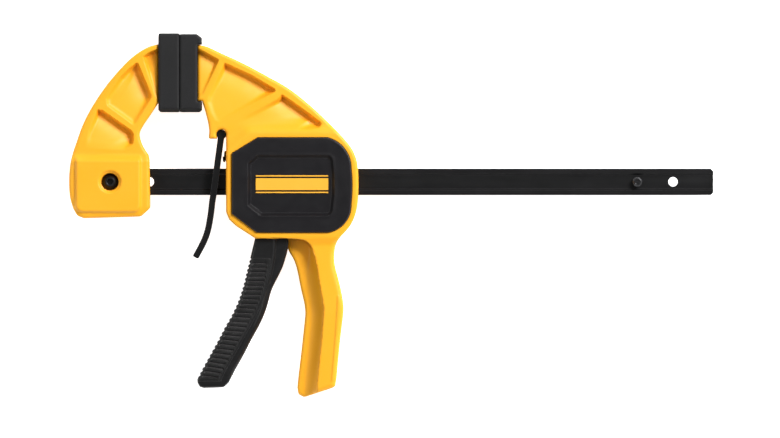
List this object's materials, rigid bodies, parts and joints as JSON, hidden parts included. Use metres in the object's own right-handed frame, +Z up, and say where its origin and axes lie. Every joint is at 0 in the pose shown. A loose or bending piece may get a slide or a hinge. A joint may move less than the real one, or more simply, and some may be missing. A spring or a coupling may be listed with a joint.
{
  "type": "trigger bar clamp",
  "caption": "One-handed trigger bar clamp with a fixed jaw, a ratcheting sliding jaw with pistol grip, soft pads, a brake lever and a stop pin.",
  "frame": {"origin": "on the bench under the middle of the bounding box of the clamp lying on its side", "axes": "+X along the bar from the fixed jaw to the free end, +Y from the handle to the pads, +Z up through the thickness"},
  "size_m": [0.4125, 0.2332, 0.034],
  "materials": {
    "bar_steel": "black oxide, satin",
    "black_steel": "black oxide, satin",
    "pin_steel": "dark oiled steel",
    "zinc_steel": "bright zinc",
    "plate_steel": "bare hardened steel",
    "spring_steel": "drawn spring wire",
    "jaw_nylon": "glass filled nylon, fine texture",
    "cover_nylon": "glass filled nylon, fine texture",
    "trigger_nylon": "glass filled nylon, fine texture",
    "badge_plastic": "smooth moulded plate",
    "pad_rubber": "matte soft pad",
    "grip_rubber": "matte ribbed soft grip"
  },
  "bodies": {
    "bar_and_fixed_jaw": {"bar": "bar_steel", "bar_stop_pin": "pin_steel", "fixed_jaw": "jaw_nylon", "jaw_screw": "black_steel", "jaw_nut": "zinc_steel", "fixed_pad": "pad_rubber"},
    "sliding_jaw": {"movable_jaw": "jaw_nylon", "movable_pad": "pad_rubber", "front_cover": "cover_nylon", "back_cover": "cover_nylon", "front_badge": "badge_plastic", "back_badge": "badge_plastic", "trigger_pin": "pin_steel", "drive_spring": "spring_steel", "brake_spring": "spring_steel"},
    "trigger": {"trigger": "trigger_nylon", "trigger_grip": "grip_rubber"},
    "drive_plates": {"drive_plate_front": "plate_steel", "drive_plate_rear": "plate_steel"},
    "brake_lever": {"brake_lever": "black_steel"}
  },
  "joints": [
    {"name": "jaw_slide", "type": "slide", "parent": "bar_and_fixed_jaw", "child": "sliding_jaw", "axis": [1, 0, 0], "range_m": [0, 0.175]},
    {"name": "trigger_squeeze", "type": "hinge", "parent": "sliding_jaw", "child": "trigger", "pos_m": [-0.0763, 0.0406, 0.017], "axis": [0, 0, 1], "range_deg": [0, 11.4], "stiffness_Nm_per_rad": 0.6, "springref_deg": -8.59},
    {"name": "drive_plates_push", "type": "slide", "parent": "sliding_jaw", "child": "drive_plates", "axis": [1, 0, 0], "range_m": [0, 0.004], "deforming": ["drive_spring"]},
    {"name": "brake_release", "type": "hinge", "parent": "sliding_jaw", "child": "brake_lever", "pos_m": [-0.1088, 0.0518, 0.017], "axis": [0, 0, 1], "range_deg": [0, 7.4], "stiffness_Nm_per_rad": 0.3, "springref_deg": -11.46, "deforming": ["brake_spring"]}
  ],
  "couplings": [
    {"joint": "drive_plates_push", "follows": "trigger_squeeze", "m_per_rad": 0.0191}
  ]
}
